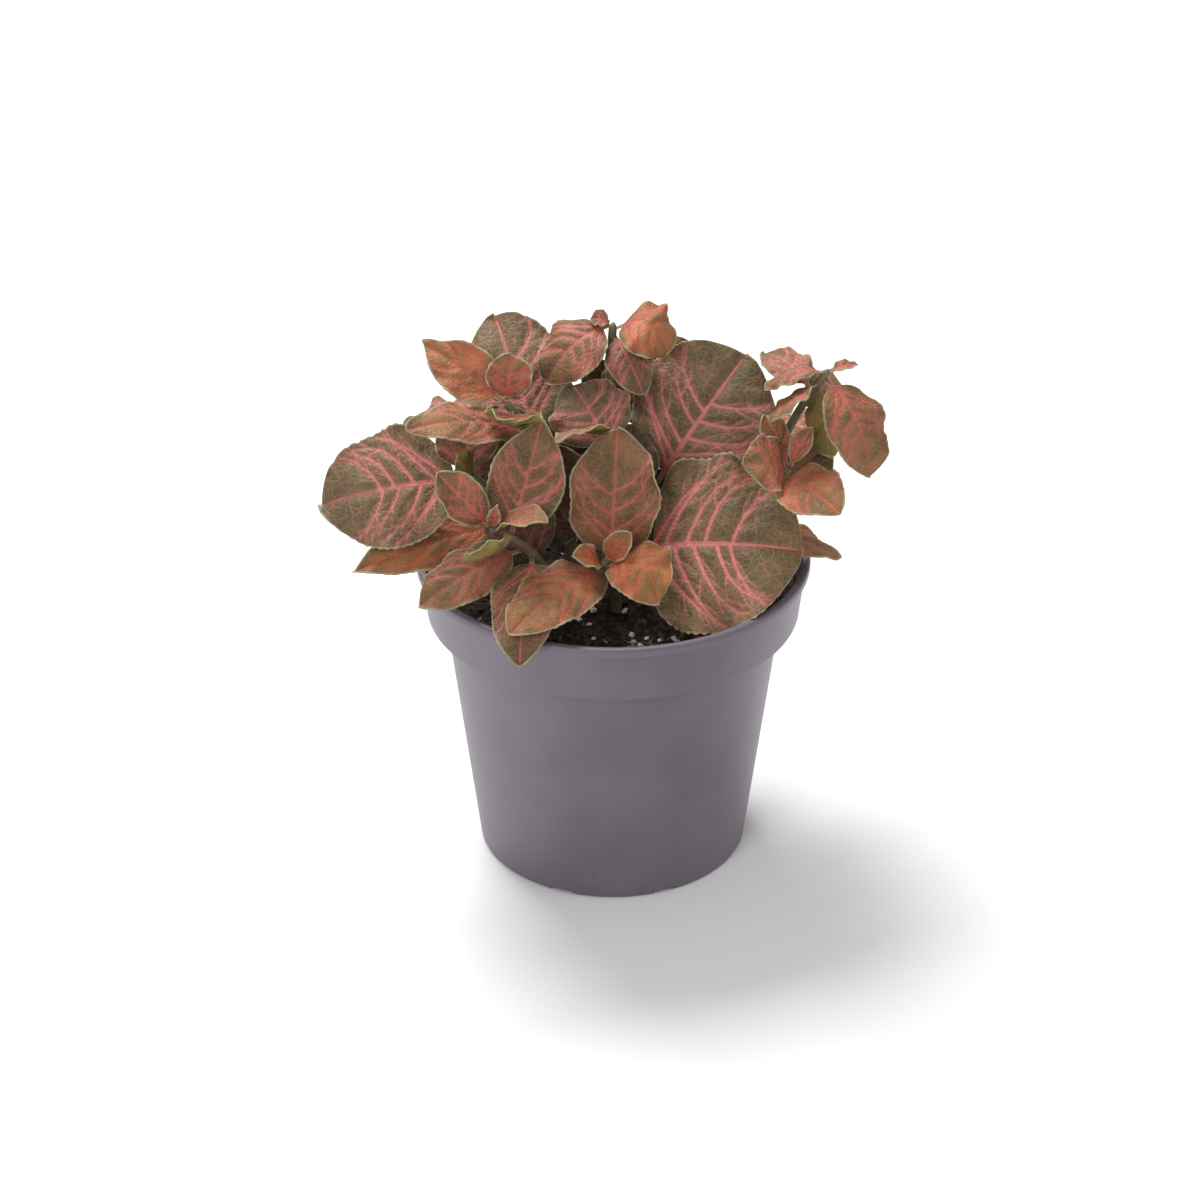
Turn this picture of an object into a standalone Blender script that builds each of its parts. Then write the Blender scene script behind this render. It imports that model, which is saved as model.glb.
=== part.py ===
"""Potted nerve plant: a plastic nursery pot, its soil, the rooted stems and every leaf.

Blender 4.5, metres, +Z up. The pot stands on the ground with its axis on Z, and the front is -Y.
Lengths below are in millimetres and are turned into metres where a mesh is made.
"""
import math
from dataclasses import dataclass

import bmesh
import bpy
from mathutils import Matrix, Vector

MM = 0.001                  # one millimetre in metres
GAP = 0.3                   # running gap between pieces that touch

# Pot: outside radii and heights, from the ground up
POT_HEIGHT = 99.0
BASE_RADIUS = 42.0
BODY_TOP_RADIUS = 51.5
STEP_HEIGHT = 80.0          # where the body ends and the collar starts
COLLAR_LOW_RADIUS = 57.0
COLLAR_TOP_RADIUS = 58.6
LIP_RADIUS = 60.0
LIP_DROP = 3.0
WALL = 1.0
FLOOR = 2.4
POT_STEPS = 72
CHANNEL_COUNT = 8           # drain channels under the floor, each with one hole
CHANNEL_WIDTH = 7.0
CHANNEL_DEPTH = 1.4
CHANNEL_START = 14.0        # the flat pad inside this radius stands on the ground
DRAIN_RADIUS = 3.5
DRAIN_RING = 30.0

# Soil
SOIL_TOP = 87.5
SOIL_STEPS = 48
SOIL_RINGS = 7
SOCKET_DEPTH = 12.0         # how deep each stem is rooted

# Stems and leaves
STEM_POINTS = 12
STEM_LOW_RADIUS = 1.7
STEM_TOP_RADIUS = 1.1
LEAF_THICKNESS = 0.8
LEAF_COLUMNS = 10
LEAF_ROWS = 4
PETIOLE_HALF_WIDTH = 0.7
TIP_HALF_WIDTH = 0.3
LEAF_SEAT = 0.7            # from the stem's surface to the end of the petiole


@dataclass(frozen=True)
class Stem:
    """A shoot: where it leaves the soil and where it ends."""

    name: str
    root: tuple
    apex: tuple
    rise: float = 0.6       # how far up it stays vertical before it leans


@dataclass(frozen=True)
class Leaf:
    """A leaf with its petiole, from a place on its stem to its tip."""

    name: str
    stem: str
    along: float            # place on the stem, 0 at the soil and 1 at the apex
    tip: tuple
    face: tuple             # where the upper side looks
    width: float
    bow: float = 4.0        # how far the midrib arches towards the upper side
    cup: float = -0.5       # bend of each half in radians: up if positive, down if negative
    fold: float = 0.1       # slope of each half away from the midrib
    sway: float = 0.0       # how far the midrib bends sideways
    petiole: float = 0.1    # share of the length that is petiole
    heel: float = 0.5       # 0.5 is a round heel, less is a broader one
    point: float = 0.6      # 0.5 is a round tip, 1 a pointed one


STEMS = (
    Stem("stem_centre_front", (1, -17, 88), (-3, -33, 113)),
    Stem("stem_left_front", (-17, -19, 88), (-36, -31, 123)),
    Stem("stem_left", (-25, -3, 88), (-44, -9, 131)),
    Stem("stem_upper_left", (-13, 5, 88), (-32, -2, 150)),
    Stem("stem_centre", (-2, -2, 88), (0, -5, 141)),
    Stem("stem_top", (-3, 14, 88), (0, 20, 166)),
    Stem("stem_right_low", (8, -13, 88), (5, -15, 111)),
    Stem("stem_right_middle", (12, 3, 88), (12, 4, 121)),
    Stem("stem_right", (27, -4, 88), (53, -4, 129)),
    Stem("stem_right_top", (43, 6, 88), (64, 6, 157)),
    Stem("stem_back", (8, 28, 88), (12, 36, 138)),
    Stem("stem_back_left", (-15, 24, 88), (-36, 38, 124)),
    Stem("stem_back_right", (27, 27, 88), (42, 36, 120)),
)

LEAVES = (
    # Centre front shoot
    Leaf("leaf_front_right", "stem_centre_front", 0.97, (13, -47, 107), (0.2, -0.65, 0.75), 21, 5, -0.4, sway=-4),
    Leaf("leaf_front_bud_left", "stem_centre_front", 0.99, (-12, -40, 119), (0.1, -0.6, 0.8), 8, 1.5, 0.3),
    Leaf("leaf_front_bud_right", "stem_centre_front", 1.0, (5, -33, 123), (-0.2, -0.8, 0.5), 8, 1, 0.4),
    Leaf("leaf_front_upright", "stem_centre_front", 0.72, (1, -13, 147), (0, -0.95, 0.3), 28, 3, 0.6),
    Leaf("leaf_front_low", "stem_centre_front", 0.75, (-30, -62, 105), (-0.1, -0.5, 0.85), 21, 5, -0.4),
    # Left front shoot
    Leaf("leaf_left_pink", "stem_left_front", 1.0, (-51, -32, 142), (0.3, -0.85, 0.4), 13, -1, 0.4),
    Leaf("leaf_left_curl", "stem_left_front", 0.98, (-19, -40, 130), (0.1, -0.15, 0.95), 12, 2, 0.4),
    Leaf("leaf_left_under", "stem_left_front", 0.85, (-42, -44, 122), (-0.2, 0.7, 0.6), 16, -2, 0.3),
    Leaf("leaf_left_upright", "stem_left_front", 0.84, (-21, -14, 150), (0.05, -0.95, 0.35), 23, 2, 0.3,
         point=0.8),
    Leaf("leaf_left_low", "stem_left_front", 0.7, (-57, -38, 101), (-0.2, -0.55, 0.8), 18, 3, -0.3),
    Leaf("leaf_rim_droop", "stem_left_front", 0.6, (-27, -66, 97), (-0.1, -0.75, 0.65), 20, 5, -0.3),
    # Left shoot
    Leaf("leaf_left_orange", "stem_left", 0.5, (-77, -26, 106), (-0.05, -0.6, 0.8), 18, 3.5, -0.3,
         point=0.8),
    Leaf("leaf_left_large", "stem_left", 0.93, (-87, -8, 119), (-0.1, -0.7, 0.7), 38, 5, -0.3),
    Leaf("leaf_left_dark", "stem_left", 0.96, (-44, 0, 144), (-0.1, -0.9, 0.4), 19, 2, 0.2),
    Leaf("leaf_left_hood", "stem_left", 0.97, (-46, -21, 141), (0, 0.8, -0.6), 10, -1, 0.3),
    # Upper left shoot
    Leaf("leaf_upper_orange", "stem_upper_left", 1.0, (-57, 15, 162), (0.2, -0.85, 0.5), 17, 2, 0.2,
         point=0.95),
    Leaf("leaf_upper_pink", "stem_upper_left", 0.8, (-60, -23, 151), (-0.15, -0.4, 0.9), 18, 4, -0.4),
    Leaf("leaf_upper_round", "stem_upper_left", 1.0, (-30, 4, 163), (0, -0.9, 0.4), 14, 1.5, 0.4),
    Leaf("leaf_upper_cup", "stem_upper_left", 0.96, (-28, -20, 153), (0.1, 0.3, 0.95), 18, -3, 0.7),
    Leaf("leaf_upper_back", "stem_upper_left", 0.7, (-36, 38, 160), (-0.05, -0.8, 0.6), 33, 3, -0.2),
    # Centre shoot
    Leaf("leaf_centre_grey", "stem_centre", 0.85, (-12, 12, 149), (0.05, -0.75, 0.65), 26, 4, -0.4),
    Leaf("leaf_centre_flap", "stem_centre", 1.0, (-16, -27, 149), (0.1, 0.75, 0.65), 12, 3, -0.2),
    Leaf("leaf_centre_inner", "stem_centre", 0.3, (-16, -12, 141), (0, -0.95, 0.2), 16, 2, 0.2),
    # Top shoot
    Leaf("leaf_top_left", "stem_top", 0.99, (-20, 12, 150), (-0.35, -0.55, 0.75), 22, 5, -0.5),
    Leaf("leaf_top_gold", "stem_top", 0.98, (16, 14, 158), (0, -0.35, 0.9), 23, 8, -0.5),
    Leaf("leaf_top_hang", "stem_top", 0.94, (9, 3, 150), (0.1, -0.85, 0.5), 14, 4, -0.4),
    Leaf("leaf_top_dark", "stem_top", 0.6, (-4, 26, 151), (0, -0.9, 0.4), 13, -1, 0.2),
    # Right shoots
    Leaf("leaf_right_largest", "stem_right_low", 0.8, (56, -22, 111), (0, -0.67, 0.74), 57, 6, -0.25,
         heel=0.32, point=0.55),
    Leaf("leaf_right_upper", "stem_right_middle", 0.95, (40, 23, 154), (-0.1, -0.87, 0.5), 45, 4, -0.2,
         point=0.5),
    Leaf("leaf_right_pink", "stem_right", 0.98, (38, -13, 135), (-0.1, -0.7, 0.7), 18, 3, -0.1),
    Leaf("leaf_right_front", "stem_right", 0.94, (66, -29, 127), (0.1, -0.7, 0.7), 19, 3, -0.2),
    Leaf("leaf_right_small_left", "stem_right", 0.99, (45, 4, 143), (0.45, -0.8, 0.35), 9, 1, 0.3, heel=0.9),
    Leaf("leaf_right_small", "stem_right", 1.0, (59, -4, 143), (-0.5, -0.75, 0.4), 7, 1, 0.3, heel=0.9,
         point=0.8),
    Leaf("leaf_right_thin", "stem_right", 0.45, (68, -9, 101), (0.3, -0.1, 0.95), 16, 4, -0.3),
    # Right top shoot
    Leaf("leaf_corner_down", "stem_right_top", 0.96, (76, -9, 129), (0.6, -0.7, 0.4), 23, 5, -0.4),
    Leaf("leaf_corner_fold", "stem_right_top", 0.98, (45, 4, 151), (-0.1, 0.1, 0.95), 13, 3, -0.6),
    Leaf("leaf_corner_edge", "stem_right_top", 0.92, (47, -8, 146), (-0.6, 0.1, 0.75), 15, 2, -0.4),
    Leaf("leaf_corner_back", "stem_right_top", 0.88, (46, 26, 153), (-0.2, 0.05, 0.95), 14, 3, -0.3),
    Leaf("leaf_corner_under", "stem_right_top", 0.9, (64, -6, 134), (0.3, 0.8, -0.3), 13, 2, 0.3),
    # Back shoots, behind the others
    Leaf("leaf_back_gold", "stem_back", 1.0, (24, 38, 151), (0.1, -0.8, 0.55), 26, 3, -0.3),
    Leaf("leaf_back_middle", "stem_back", 0.85, (18, 66, 122), (0, 0.6, 0.8), 34, 6, -0.4),
    Leaf("leaf_behind_left", "stem_back_left", 0.97, (-64, 36, 122), (-0.3, 0.1, 0.95), 34, 6, -0.4),
    Leaf("leaf_behind_left_back", "stem_back_left", 0.9, (-34, 70, 114), (-0.2, 0.6, 0.8), 34, 6, -0.4),
    Leaf("leaf_behind_right", "stem_back_right", 0.97, (74, 38, 116), (0.3, 0.1, 0.95), 34, 6, -0.4),
    Leaf("leaf_behind_right_back", "stem_back_right", 0.85, (46, 70, 106), (0.2, 0.6, 0.8), 32, 6, -0.4),
)

OLIVE = (0.20, 0.17, 0.09)
PEACH = (0.55, 0.27, 0.14)
DARK = (0.10, 0.07, 0.04)
YOUNG = ("bud", "orange", "front_right", "front_low", "pink", "curl", "round", "gold", "small", "right_front")
SHADED = ("dark", "inner", "hang", "under")


def clear_scene():
    """Remove every object, so that the part is all there is."""
    for thing in list(bpy.data.objects):
        bpy.data.objects.remove(thing, do_unlink=True)


def material(name, colour, roughness, metallic=0.0):
    """A Principled material."""
    made = bpy.data.materials.new(name)
    made.use_nodes = True
    shader = made.node_tree.nodes["Principled BSDF"]
    shader.inputs["Base Color"].default_value = (*colour, 1.0)
    shader.inputs["Roughness"].default_value = roughness
    shader.inputs["Metallic"].default_value = metallic
    return made


def add_object(name, data, finish):
    """Link a mesh or curve under a name, with its material."""
    made = bpy.data.objects.new(name, data)
    bpy.context.scene.collection.objects.link(made)
    data.materials.append(finish)
    return made


def mesh_object(name, shape, finish, smooth=True):
    """Turn a bmesh in millimetres into an object in metres."""
    bmesh.ops.scale(shape, vec=(MM, MM, MM), verts=shape.verts)
    bmesh.ops.recalc_face_normals(shape, faces=shape.faces)
    data = bpy.data.meshes.new(name)
    shape.to_mesh(data)
    shape.free()
    if smooth:
        data.shade_smooth()
        data.set_sharp_from_angle(angle=math.radians(35))
    return add_object(name, data, finish)


def lathe(profile, steps):
    """Spin a closed outline of (radius, height) points about Z; an outline may touch the axis."""
    shape = bmesh.new()
    corners = [shape.verts.new((radius, 0, height)) for radius, height in profile]
    edges = [shape.edges.new(pair) for pair in zip(corners, corners[1:])]
    if profile[0][0] > 0:
        edges.append(shape.edges.new((corners[-1], corners[0])))
    bmesh.ops.spin(shape, geom=corners + edges, cent=(0, 0, 0), axis=(0, 0, 1), dvec=(0, 0, 0),
                   angle=2 * math.pi, steps=steps, use_merge=True)
    bmesh.ops.remove_doubles(shape, verts=shape.verts, dist=0.001)
    return shape


def cutter(name, shape, finish):
    """A hidden object that a Boolean subtracts."""
    tool = mesh_object(name, shape, finish, smooth=False)
    tool.hide_render = True
    tool.display_type = "WIRE"
    return tool


def subtract(target, tool):
    """Cut the tool out of the target."""
    cut = target.modifiers.new("cut_" + tool.name, "BOOLEAN")
    cut.operation = "DIFFERENCE"
    cut.solver = "EXACT"
    cut.object = tool


def inner_radius(height):
    """Radius of the pot's inside wall at a height."""
    if height > STEP_HEIGHT + WALL:
        share = (height - STEP_HEIGHT) / (POT_HEIGHT - STEP_HEIGHT)
        return COLLAR_LOW_RADIUS + share * (COLLAR_TOP_RADIUS - COLLAR_LOW_RADIUS) - WALL
    return BASE_RADIUS + (BODY_TOP_RADIUS - BASE_RADIUS) * height / STEP_HEIGHT - WALL


def build_pot(finish):
    """The nursery pot: tapered body, stepped collar, lip, and a floor with channels and holes."""
    lip_foot = POT_HEIGHT - LIP_DROP
    profile = [
        (0, 0), (BASE_RADIUS - 1.2, 0), (BASE_RADIUS, 1.2),
        (BODY_TOP_RADIUS, STEP_HEIGHT), (COLLAR_LOW_RADIUS - 0.6, STEP_HEIGHT),
        (COLLAR_LOW_RADIUS, STEP_HEIGHT + 0.8), (COLLAR_TOP_RADIUS, lip_foot),
        (LIP_RADIUS - 0.3, lip_foot), (LIP_RADIUS, lip_foot + 0.6),
        (LIP_RADIUS, POT_HEIGHT - 0.9), (LIP_RADIUS - 0.7, POT_HEIGHT),
        (COLLAR_TOP_RADIUS - WALL + 0.4, POT_HEIGHT), (COLLAR_TOP_RADIUS - WALL, POT_HEIGHT - 0.5),
        (COLLAR_LOW_RADIUS - WALL, STEP_HEIGHT + WALL + 0.6),
        (COLLAR_LOW_RADIUS - WALL - 0.6, STEP_HEIGHT + WALL),
        (BODY_TOP_RADIUS - WALL, STEP_HEIGHT + WALL),
        (BASE_RADIUS - WALL + 0.3, FLOOR + 1.0), (BASE_RADIUS - WALL - 0.8, FLOOR), (0, FLOOR),
    ]
    pot = mesh_object("pot", lathe(profile, POT_STEPS), finish)

    channels = bmesh.new()
    length = LIP_RADIUS - CHANNEL_START
    for number in range(CHANNEL_COUNT):
        place = (Matrix.Rotation(2 * math.pi * (number + 0.5) / CHANNEL_COUNT, 4, "Z")
                 @ Matrix.Translation((CHANNEL_START + length / 2, 0, 0))
                 @ Matrix.Diagonal((length, CHANNEL_WIDTH, 2 * CHANNEL_DEPTH, 1)))
        bmesh.ops.create_cube(channels, size=1.0, matrix=place)
    subtract(pot, cutter("cut_channels", channels, finish))

    holes = bmesh.new()
    for number in range(CHANNEL_COUNT):
        place = (Matrix.Rotation(2 * math.pi * (number + 0.5) / CHANNEL_COUNT, 4, "Z")
                 @ Matrix.Translation((DRAIN_RING, 0, FLOOR)))
        bmesh.ops.create_cone(holes, cap_ends=True, segments=16, radius1=DRAIN_RADIUS,
                              radius2=DRAIN_RADIUS, depth=4 * FLOOR, matrix=place)
    subtract(pot, cutter("cut_drains", holes, finish))
    return pot


def soil_height(x, y):
    """Lumpy top of the soil: low mounds from a few crossed waves, sinking at the wall."""
    edge = math.hypot(x, y) / inner_radius(SOIL_TOP)
    lumps = 0.9 * math.sin(0.21 * x + 1.3) * math.cos(0.18 * y + 0.4) + 0.6 * math.sin(0.37 * y - 0.26 * x)
    return SOIL_TOP + 1.5 * (1 - edge * edge) + lumps * (1 - 0.5 * edge)


def build_soil(finish):
    """The soil that fills the pot, with a socket for each stem."""
    low = FLOOR + GAP
    step = STEP_HEIGHT + WALL + GAP
    top_radius = inner_radius(SOIL_TOP) - GAP
    profile = [
        (0, low), (BASE_RADIUS - WALL - 1.4, low), (inner_radius(low + 1.2) - GAP, low + 1.2),
        (BODY_TOP_RADIUS - WALL - GAP, STEP_HEIGHT),
        (BODY_TOP_RADIUS - WALL - GAP, step), (COLLAR_LOW_RADIUS - WALL - 0.6 - GAP, step),
        (COLLAR_LOW_RADIUS - WALL - GAP, step + 0.6),
    ]
    profile += [(top_radius * (1 - ring / SOIL_RINGS), SOIL_TOP) for ring in range(SOIL_RINGS + 1)]
    shape = lathe(profile, SOIL_STEPS)
    for corner in shape.verts:
        if corner.co.z > SOIL_TOP - 0.01:
            corner.co.z = soil_height(corner.co.x, corner.co.y)
    soil = mesh_object("soil", shape, finish)

    sockets = bmesh.new()
    for stem in STEMS:
        reach = 2 * SOCKET_DEPTH
        place = Matrix.Translation((stem.root[0], stem.root[1], SOIL_TOP - SOCKET_DEPTH - GAP + reach / 2))
        bmesh.ops.create_cone(sockets, cap_ends=True, segments=10, radius1=STEM_LOW_RADIUS + 2 * GAP,
                              radius2=STEM_LOW_RADIUS + 2 * GAP, depth=reach, matrix=place)
    subtract(soil, cutter("cut_sockets", sockets, finish))
    return soil


def stem_point(stem, share):
    """Axis of a stem: straight up at the soil, then leaning to its apex."""
    root, apex = Vector(stem.root), Vector(stem.apex)
    knee = root + Vector((0, 0, stem.rise * (apex.z - root.z)))
    return root * (1 - share) ** 2 + knee * 2 * share * (1 - share) + apex * share ** 2


def stem_radius(share):
    """Radius of a stem, thinner towards its apex."""
    return STEM_LOW_RADIUS + share * (STEM_TOP_RADIUS - STEM_LOW_RADIUS)


def build_stem(stem, finish):
    """A stem with its rooted foot, as a round curve with closed ends."""
    foot = Vector(stem.root)
    foot.z = SOIL_TOP - SOCKET_DEPTH
    line = [(foot, 0.0)]
    line += [(stem_point(stem, number / (STEM_POINTS - 1)), number / (STEM_POINTS - 1))
             for number in range(STEM_POINTS)]
    data = bpy.data.curves.new(stem.name, "CURVE")
    data.dimensions = "3D"
    data.bevel_depth = MM
    data.bevel_resolution = 2
    data.use_fill_caps = True
    spline = data.splines.new("POLY")
    spline.points.add(len(line) - 1)
    for point, (place, share) in zip(spline.points, line):
        point.co = (*(place * MM), 1.0)
        point.radius = stem_radius(share)
    return add_object(stem.name, data, finish)


def half_width(leaf, share):
    """Half the width of a leaf at a share of its length: a strip of petiole, then the blade."""
    if share <= leaf.petiole:
        return PETIOLE_HALF_WIDTH
    blade = (share - leaf.petiole) / (1 - leaf.petiole)
    widest = leaf.heel / (leaf.heel + leaf.point)
    full = widest ** leaf.heel * (1 - widest) ** leaf.point
    round_part = 0.5 * leaf.width * blade ** leaf.heel * max(1 - blade, 0.0) ** leaf.point / full
    return max(round_part, PETIOLE_HALF_WIDTH * (1 - blade), TIP_HALF_WIDTH)


def leaf_base(leaf, stem):
    """Where the petiole starts: beside the stem, on the side of the tip."""
    centre = stem_point(stem, leaf.along)
    ahead = (stem_point(stem, min(leaf.along + 0.02, 1.0)) - stem_point(stem, leaf.along - 0.02)).normalized()
    outward = Vector(leaf.tip) - centre
    outward -= outward.dot(ahead) * ahead
    return centre + outward.normalized() * (stem_radius(leaf.along) + LEAF_SEAT)


def leaf_surface(leaf, base):
    """A function from (share of length, -1 to 1 across) to a point on the leaf's middle surface."""
    tip = Vector(leaf.tip)
    chord = (tip - base).normalized()
    face = Vector(leaf.face)
    face = (face - face.dot(chord) * chord).normalized()
    side = chord.cross(face)
    crown = (base + tip) / 2 + face * 2 * leaf.bow + side * 2 * leaf.sway

    def surface(share, across):
        middle = base * (1 - share) ** 2 + crown * 2 * share * (1 - share) + tip * share ** 2
        ahead = ((crown - base) * (1 - share) + (tip - crown) * share).normalized()
        up = side.cross(ahead)
        reach = across * half_width(leaf, share)
        bend = 2 * leaf.cup / leaf.width
        sideways = math.sin(bend * reach) / bend
        height = (1 - math.cos(bend * reach)) / bend + leaf.fold * abs(reach)
        return middle + side * sideways + up * height

    return surface


def build_leaf(leaf, stem, finish):
    """A leaf: a grid laid on its surface, then thickened."""
    surface = leaf_surface(leaf, leaf_base(leaf, stem))
    shape = bmesh.new()
    bmesh.ops.create_grid(shape, x_segments=LEAF_COLUMNS, y_segments=LEAF_ROWS, size=1.0)
    for corner in shape.verts:
        share = (corner.co.x + 1) / 2
        corner.co = surface(share ** 0.9, corner.co.y)
    made = mesh_object(leaf.name, shape, finish)
    thick = made.modifiers.new("thickness", "SOLIDIFY")
    thick.thickness = LEAF_THICKNESS * MM
    thick.offset = 0.0
    thick.use_even_offset = False
    return made


def leaf_finish(leaf, finishes):
    """The material of a leaf: young, shaded or full grown."""
    if any(word in leaf.name for word in SHADED):
        return finishes["shaded"]
    if any(word in leaf.name for word in YOUNG):
        return finishes["young"]
    return finishes["grown"]


def main():
    """Build the plant."""
    clear_scene()
    build_pot(material("pot_plastic", (0.14, 0.12, 0.145), 0.45))
    build_soil(material("peat_soil", (0.025, 0.018, 0.014), 0.95))
    stem_finish = material("stem_green", (0.22, 0.20, 0.12), 0.6)
    stems = {stem.name: stem for stem in STEMS}
    for stem in STEMS:
        build_stem(stem, stem_finish)
    finishes = {
        "grown": material("leaf_grown", OLIVE, 0.5),
        "young": material("leaf_young", PEACH, 0.5),
        "shaded": material("leaf_shaded", DARK, 0.55),
    }
    for leaf in LEAVES:
        build_leaf(leaf, stems[leaf.stem], leaf_finish(leaf, finishes))


main()
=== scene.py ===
"""The looks of a potted nerve plant: veined leaves, stems, loose soil and a moulded nursery pot.

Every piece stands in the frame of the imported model, in metres, with the front towards -Y.
Shapes are worked out in millimetres and turned into metres when a mesh is finished.
"""
import logging
import math
import random
from dataclasses import dataclass, field
from enum import Enum
from typing import Any, Optional

import bmesh
import bpy
import numpy as np
from mathutils import Matrix, Vector, noise


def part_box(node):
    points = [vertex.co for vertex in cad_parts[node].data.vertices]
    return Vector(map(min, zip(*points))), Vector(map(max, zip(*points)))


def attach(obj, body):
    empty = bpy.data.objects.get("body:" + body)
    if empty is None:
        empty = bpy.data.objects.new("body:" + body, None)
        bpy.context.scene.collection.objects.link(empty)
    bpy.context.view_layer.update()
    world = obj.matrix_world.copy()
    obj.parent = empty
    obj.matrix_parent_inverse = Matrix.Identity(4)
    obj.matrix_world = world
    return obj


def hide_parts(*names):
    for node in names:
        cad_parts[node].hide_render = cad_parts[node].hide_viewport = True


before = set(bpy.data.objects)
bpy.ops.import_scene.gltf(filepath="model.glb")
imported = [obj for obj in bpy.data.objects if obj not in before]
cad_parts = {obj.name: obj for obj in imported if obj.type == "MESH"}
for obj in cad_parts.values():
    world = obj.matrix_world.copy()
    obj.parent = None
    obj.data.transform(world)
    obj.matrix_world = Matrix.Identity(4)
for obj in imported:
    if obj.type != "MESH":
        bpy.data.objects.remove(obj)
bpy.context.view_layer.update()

LOG = logging.getLogger("nerve_plant")
MM = 0.001
BODY = "root"

Colour = tuple[float, float, float]
Triple = tuple[float, float, float]


# ---------------------------------------------------------------- shader graph


class Socket:
    """A node's output that takes part in arithmetic."""

    def __init__(self, graph: "Graph", link: bpy.types.NodeSocket) -> None:
        """Keep the graph and the socket."""
        self.graph = graph
        self.link = link

    def _math(self, operation: str, first: Any, second: Any) -> "Socket":
        """A Math node on two values."""
        return self.graph.node("ShaderNodeMath", {"operation": operation}, {0: first, 1: second})

    def __add__(self, other: Any) -> "Socket":
        """Sum."""
        return self._math("ADD", self, other)

    __radd__ = __add__

    def __sub__(self, other: Any) -> "Socket":
        """Difference."""
        return self._math("SUBTRACT", self, other)

    def __rsub__(self, other: Any) -> "Socket":
        """Reflected difference."""
        return self._math("SUBTRACT", other, self)

    def __mul__(self, other: Any) -> "Socket":
        """Product."""
        return self._math("MULTIPLY", self, other)

    __rmul__ = __mul__


class Graph:
    """A material's node tree, built from Python expressions."""

    def __init__(self, name: str, roughness: float = 0.5, **constants: float) -> None:
        """Start a material with a Principled shader.

        Args:
            name: the material's name.
            roughness: its plain roughness.
            constants: other shader sockets, with underscores for spaces.
        """
        self.material = bpy.data.materials.new(name)
        self.material.use_nodes = True
        self.tree = self.material.node_tree
        self.shader = self.tree.nodes["Principled BSDF"]
        self.shader.inputs["Roughness"].default_value = roughness
        for socket, value in constants.items():
            self.shader.inputs[socket.replace("_", " ")].default_value = value

    def node(self, kind: str, settings: Optional[dict] = None, inputs: Optional[dict] = None,
             output: Any = 0) -> Socket:
        """Add a node.

        Args:
            kind: the node's type.
            settings: properties that are set before the sockets.
            inputs: values or links by socket name or number.
            output: name or number of the output to return.

        Returns:
            The output, ready for arithmetic.
        """
        made = self.tree.nodes.new(kind)
        for name, value in (settings or {}).items():
            setattr(made, name, value)
        for name, value in (inputs or {}).items():
            self.feed(made.inputs[name], value)
        return Socket(self, made.outputs[output])

    def feed(self, socket: bpy.types.NodeSocket, value: Any) -> None:
        """Link a socket to an output, or set its value.

        Args:
            socket: the input to feed.
            value: an output, a colour or a number.
        """
        if isinstance(value, Socket):
            self.tree.links.new(value.link, socket)
        elif isinstance(value, tuple) and len(value) == 3 and socket.type == "RGBA":
            socket.default_value = (*value, 1.0)
        else:
            socket.default_value = value

    def attribute(self, name: str) -> Socket:
        """A float attribute of the mesh."""
        return self.node("ShaderNodeAttribute", {"attribute_name": name}, output="Fac")

    def place(self) -> Socket:
        """Object coordinates, in metres."""
        return self.node("ShaderNodeTexCoord", output="Object")

    def sheet_place(self) -> Socket:
        """The piece's own UV map, in metres."""
        return self.node("ShaderNodeUVMap", {"uv_map": "sheet"})

    def grain(self, place: Socket, size_mm: float, detail: float = 3.0) -> Socket:
        """Noise from 0 to 1 with lumps of a size in millimetres."""
        return self.node("ShaderNodeTexNoise", inputs={"Vector": place, "Scale": 1 / (size_mm * MM),
                                                       "Detail": detail})

    def cells(self, place: Socket, size_mm: float) -> Socket:
        """Distance to the nearest wall of a cell net, in cell sizes."""
        return self.node("ShaderNodeTexVoronoi", {"feature": "DISTANCE_TO_EDGE"},
                         {"Vector": place, "Scale": 1 / (size_mm * MM)}, "Distance")

    def step(self, value: Socket, low: float, high: float) -> Socket:
        """Smooth step between two levels.

        Args:
            value: what is compared with the levels.
            low: where the step is 0; it may be the greater.
            high: where the step is 1.

        Returns:
            A value from 0 to 1.
        """
        if low > high:
            return 1.0 - self.step(value, high, low)
        return self.node("ShaderNodeMapRange", {"interpolation_type": "SMOOTHSTEP"},
                         {"Value": value, "From Min": low, "From Max": high})

    def mix(self, share: Any, first: Any, second: Any) -> Socket:
        """A colour between two colours."""
        return self.node("ShaderNodeMix", {"data_type": "RGBA"}, {0: share, 6: first, 7: second}, 2)

    def multiply(self, colour: Socket, value: Socket) -> Socket:
        """A colour made darker or lighter by a value."""
        return self.node("ShaderNodeMix", {"data_type": "RGBA", "blend_type": "MULTIPLY"},
                         {0: 1.0, 6: colour, 7: value}, 2)

    def bump(self, height: Socket, depth_mm: float, strength: float = 1.0) -> Socket:
        """A normal raised by a height from 0 to 1 that stands for a depth in millimetres."""
        return self.node("ShaderNodeBump", inputs={"Height": height, "Strength": strength,
                                                   "Distance": depth_mm * MM}, output="Normal")

    def finish(self, colour: Any, roughness: Any = None, normal: Any = None) -> bpy.types.Material:
        """Link what varies to the shader.

        Args:
            colour: base colour, fixed or varying.
            roughness: roughness, when it varies.
            normal: normal, when the skin is bumpy.

        Returns:
            The finished material.
        """
        self.feed(self.shader.inputs["Base Color"], colour)
        if roughness is not None:
            self.feed(self.shader.inputs["Roughness"], roughness)
        if normal is not None:
            self.feed(self.shader.inputs["Normal"], normal)
        return self.material


# ---------------------------------------------------------------- finishes


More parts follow.
